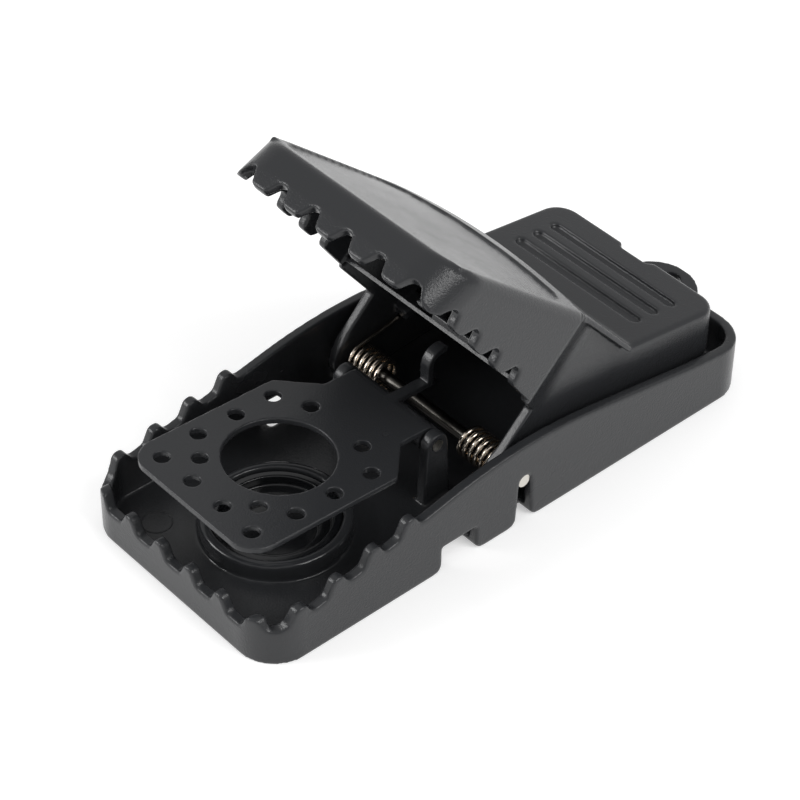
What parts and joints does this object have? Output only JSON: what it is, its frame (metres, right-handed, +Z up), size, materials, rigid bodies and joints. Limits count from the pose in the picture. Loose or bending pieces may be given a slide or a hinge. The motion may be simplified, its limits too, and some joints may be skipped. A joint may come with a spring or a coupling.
{
  "type": "snap mouse trap",
  "caption": "Press-to-set snap mouse trap with a toothed spring jaw over a toothed tray, a perforated trigger pedal and a twist-in bait cup.",
  "frame": {"origin": "on the table, under the middle of the trap's box", "axes": "+X across the trap, +Y from the toothed front to the hanging tab, +Z up"},
  "size_m": [0.045, 0.1094, 0.0571],
  "materials": {
    "body_plastic": "black, satin with a fine spark texture",
    "cup_plastic": "black, smooth",
    "pin_steel": "bright drawn pin",
    "spring_steel": "nickel-plated wire"
  },
  "bodies": {
    "base": {"base_tray": "body_plastic", "axle_pin": "pin_steel", "pedal_pin": "pin_steel", "spring_left": "spring_steel", "spring_right": "spring_steel"},
    "jaw": {"jaw": "body_plastic"},
    "trigger": {"trigger_pedal": "body_plastic"},
    "cup": {"bait_cup": "cup_plastic"}
  },
  "joints": [
    {"name": "jaw_hinge", "type": "hinge", "parent": "base", "child": "jaw", "pos_m": [0, -0.0036, 0.0083], "axis": [1, 0, 0], "range_deg": [0, 66]},
    {"name": "pedal_pivot", "type": "hinge", "parent": "base", "child": "trigger", "pos_m": [0, -0.0117, 0.0129], "axis": [1, 0, 0], "range_deg": [0, 6.6]},
    {"name": "cup_twist", "type": "hinge", "parent": "base", "child": "cup", "pos_m": [0, -0.0347, 0.002], "axis": [0, 0, 1], "range_deg": [0, 45]}
  ],
  "couplings": [
    {"joint": "pedal_pivot", "follows": "jaw_hinge", "ratio": 0.1}
  ]
}
